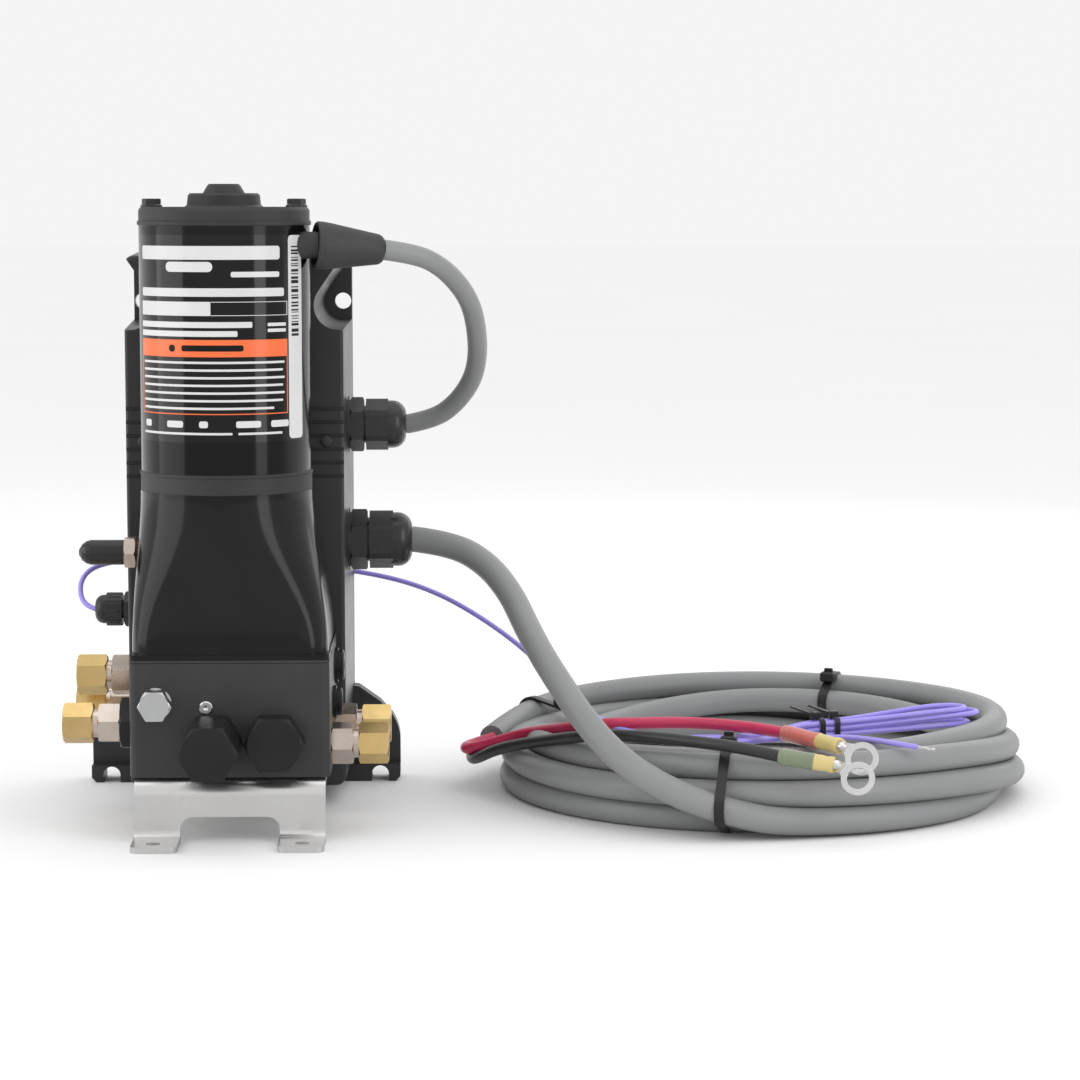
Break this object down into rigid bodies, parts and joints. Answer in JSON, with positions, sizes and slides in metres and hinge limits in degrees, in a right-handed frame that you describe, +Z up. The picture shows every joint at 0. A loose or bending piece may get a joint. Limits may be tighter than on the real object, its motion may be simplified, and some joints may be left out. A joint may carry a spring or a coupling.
{
  "type": "power assist steering unit",
  "caption": "Electric motor over an oil reservoir, gear pump and valve block, with its finned control case behind, brass tube fittings, a folded foot bracket and coiled leads.",
  "frame": {"origin": "on the floor, midway between the two foot screw holes", "axes": "+Z up along the motor; -Y towards the front with the plugs; +X towards the side with the two large cable glands"},
  "size_m": [0.4915, 0.3145, 0.3145],
  "materials": {
    "stainless": "brushed stainless sheet",
    "black_anodised": "satin black anodised",
    "black_plug": "black oxide and paint",
    "zinc": "zinc plated",
    "nickel": "nickel plated",
    "brass": "bare brass",
    "reservoir_black": "gloss black",
    "gasket_rubber": "black rubber",
    "vinyl": "black dipped vinyl",
    "black_cast": "satin black cast",
    "black_paint": "gloss black paint",
    "black_bolt": "black oxide",
    "case_black": "satin black powder coat on a die casting",
    "gland_nylon": "black nylon",
    "grey_jacket": "grey cable jacket",
    "red_insulation": "red insulation",
    "black_insulation": "black insulation",
    "sleeve_nylon": "translucent crimp sleeve",
    "tinned": "tin plated copper",
    "violet_insulation": "violet insulation",
    "tie_nylon": "black nylon",
    "ferrite": "ferrite",
    "phenolic": "phenolic",
    "steel": "machined steel",
    "copper": "copper",
    "pump_iron": "machined casting",
    "heat_sink": "bare",
    "package": "moulded package",
    "board": "solder mask",
    "capacitor_can": "sleeved can"
  },
  "bodies": {
    "unit": {"foot_bracket": "stainless", "bracket_screws": "zinc", "valve_block": "black_anodised", "relief_cartridge": "black_plug", "check_plug": "black_plug", "port_plug": "zinc", "bleed_pin": "zinc", "side_plugs": "black_plug", "fitting_bodies": "nickel", "fitting_nuts": "brass", "left_spacers": "black_plug", "reservoir_gasket": "gasket_rubber", "reservoir": "reservoir_black", "vent_fitting": "nickel", "vent_cap": "vinyl", "drive_end": "black_cast", "motor_can": "black_paint", "end_cap": "black_cast", "bearing_cover": "black_cast", "motor_bolts": "black_bolt", "field_magnets": "ferrite", "brush_ring": "phenolic", "brushes": "ferrite", "motor_bearings": "steel", "shaft_seal": "gasket_rubber", "pump_housing": "pump_iron", "pump_cover": "pump_iron", "pump_screws": "zinc", "suction_strainer": "steel", "controller_case": "case_black", "back_plate": "case_black", "back_plate_screws": "zinc", "case_screws": "zinc", "gland_bodies": "gland_nylon", "gland_nuts": "gland_nylon", "gland_washers": "gasket_rubber", "gland_locknuts": "gland_nylon", "heat_spreader": "heat_sink", "power_transistors": "package", "circuit_board": "board", "capacitors": "capacitor_can", "cable_boot": "gasket_rubber", "lead_grommet": "gasket_rubber", "motor_lead": "grey_jacket", "power_cable": "grey_jacket", "power_cable_coil": "grey_jacket", "red_wire": "red_insulation", "black_wire": "black_insulation", "wire_sleeves": "sleeve_nylon", "ring_terminals": "tinned", "signal_wire": "violet_insulation", "signal_wire_hank": "violet_insulation", "signal_wire_end": "violet_insulation", "cable_ties": "tie_nylon"},
    "rotor": {"armature": "steel", "commutator": "copper", "coupling": "steel", "drive_gear": "steel"},
    "idler": {"driven_gear": "steel"}
  },
  "joints": [
    {"name": "rotor_spin", "type": "hinge", "parent": "unit", "child": "rotor", "pos_m": [-0.0035, 0.0695, 0.2], "axis": [0, 0, 1], "continuous": true},
    {"name": "idler_spin", "type": "hinge", "parent": "unit", "child": "idler", "pos_m": [0.01814, 0.0695, 0.1], "axis": [0, 0, 1], "continuous": true}
  ],
  "couplings": [
    {"joint": "idler_spin", "follows": "rotor_spin", "ratio": -1}
  ]
}
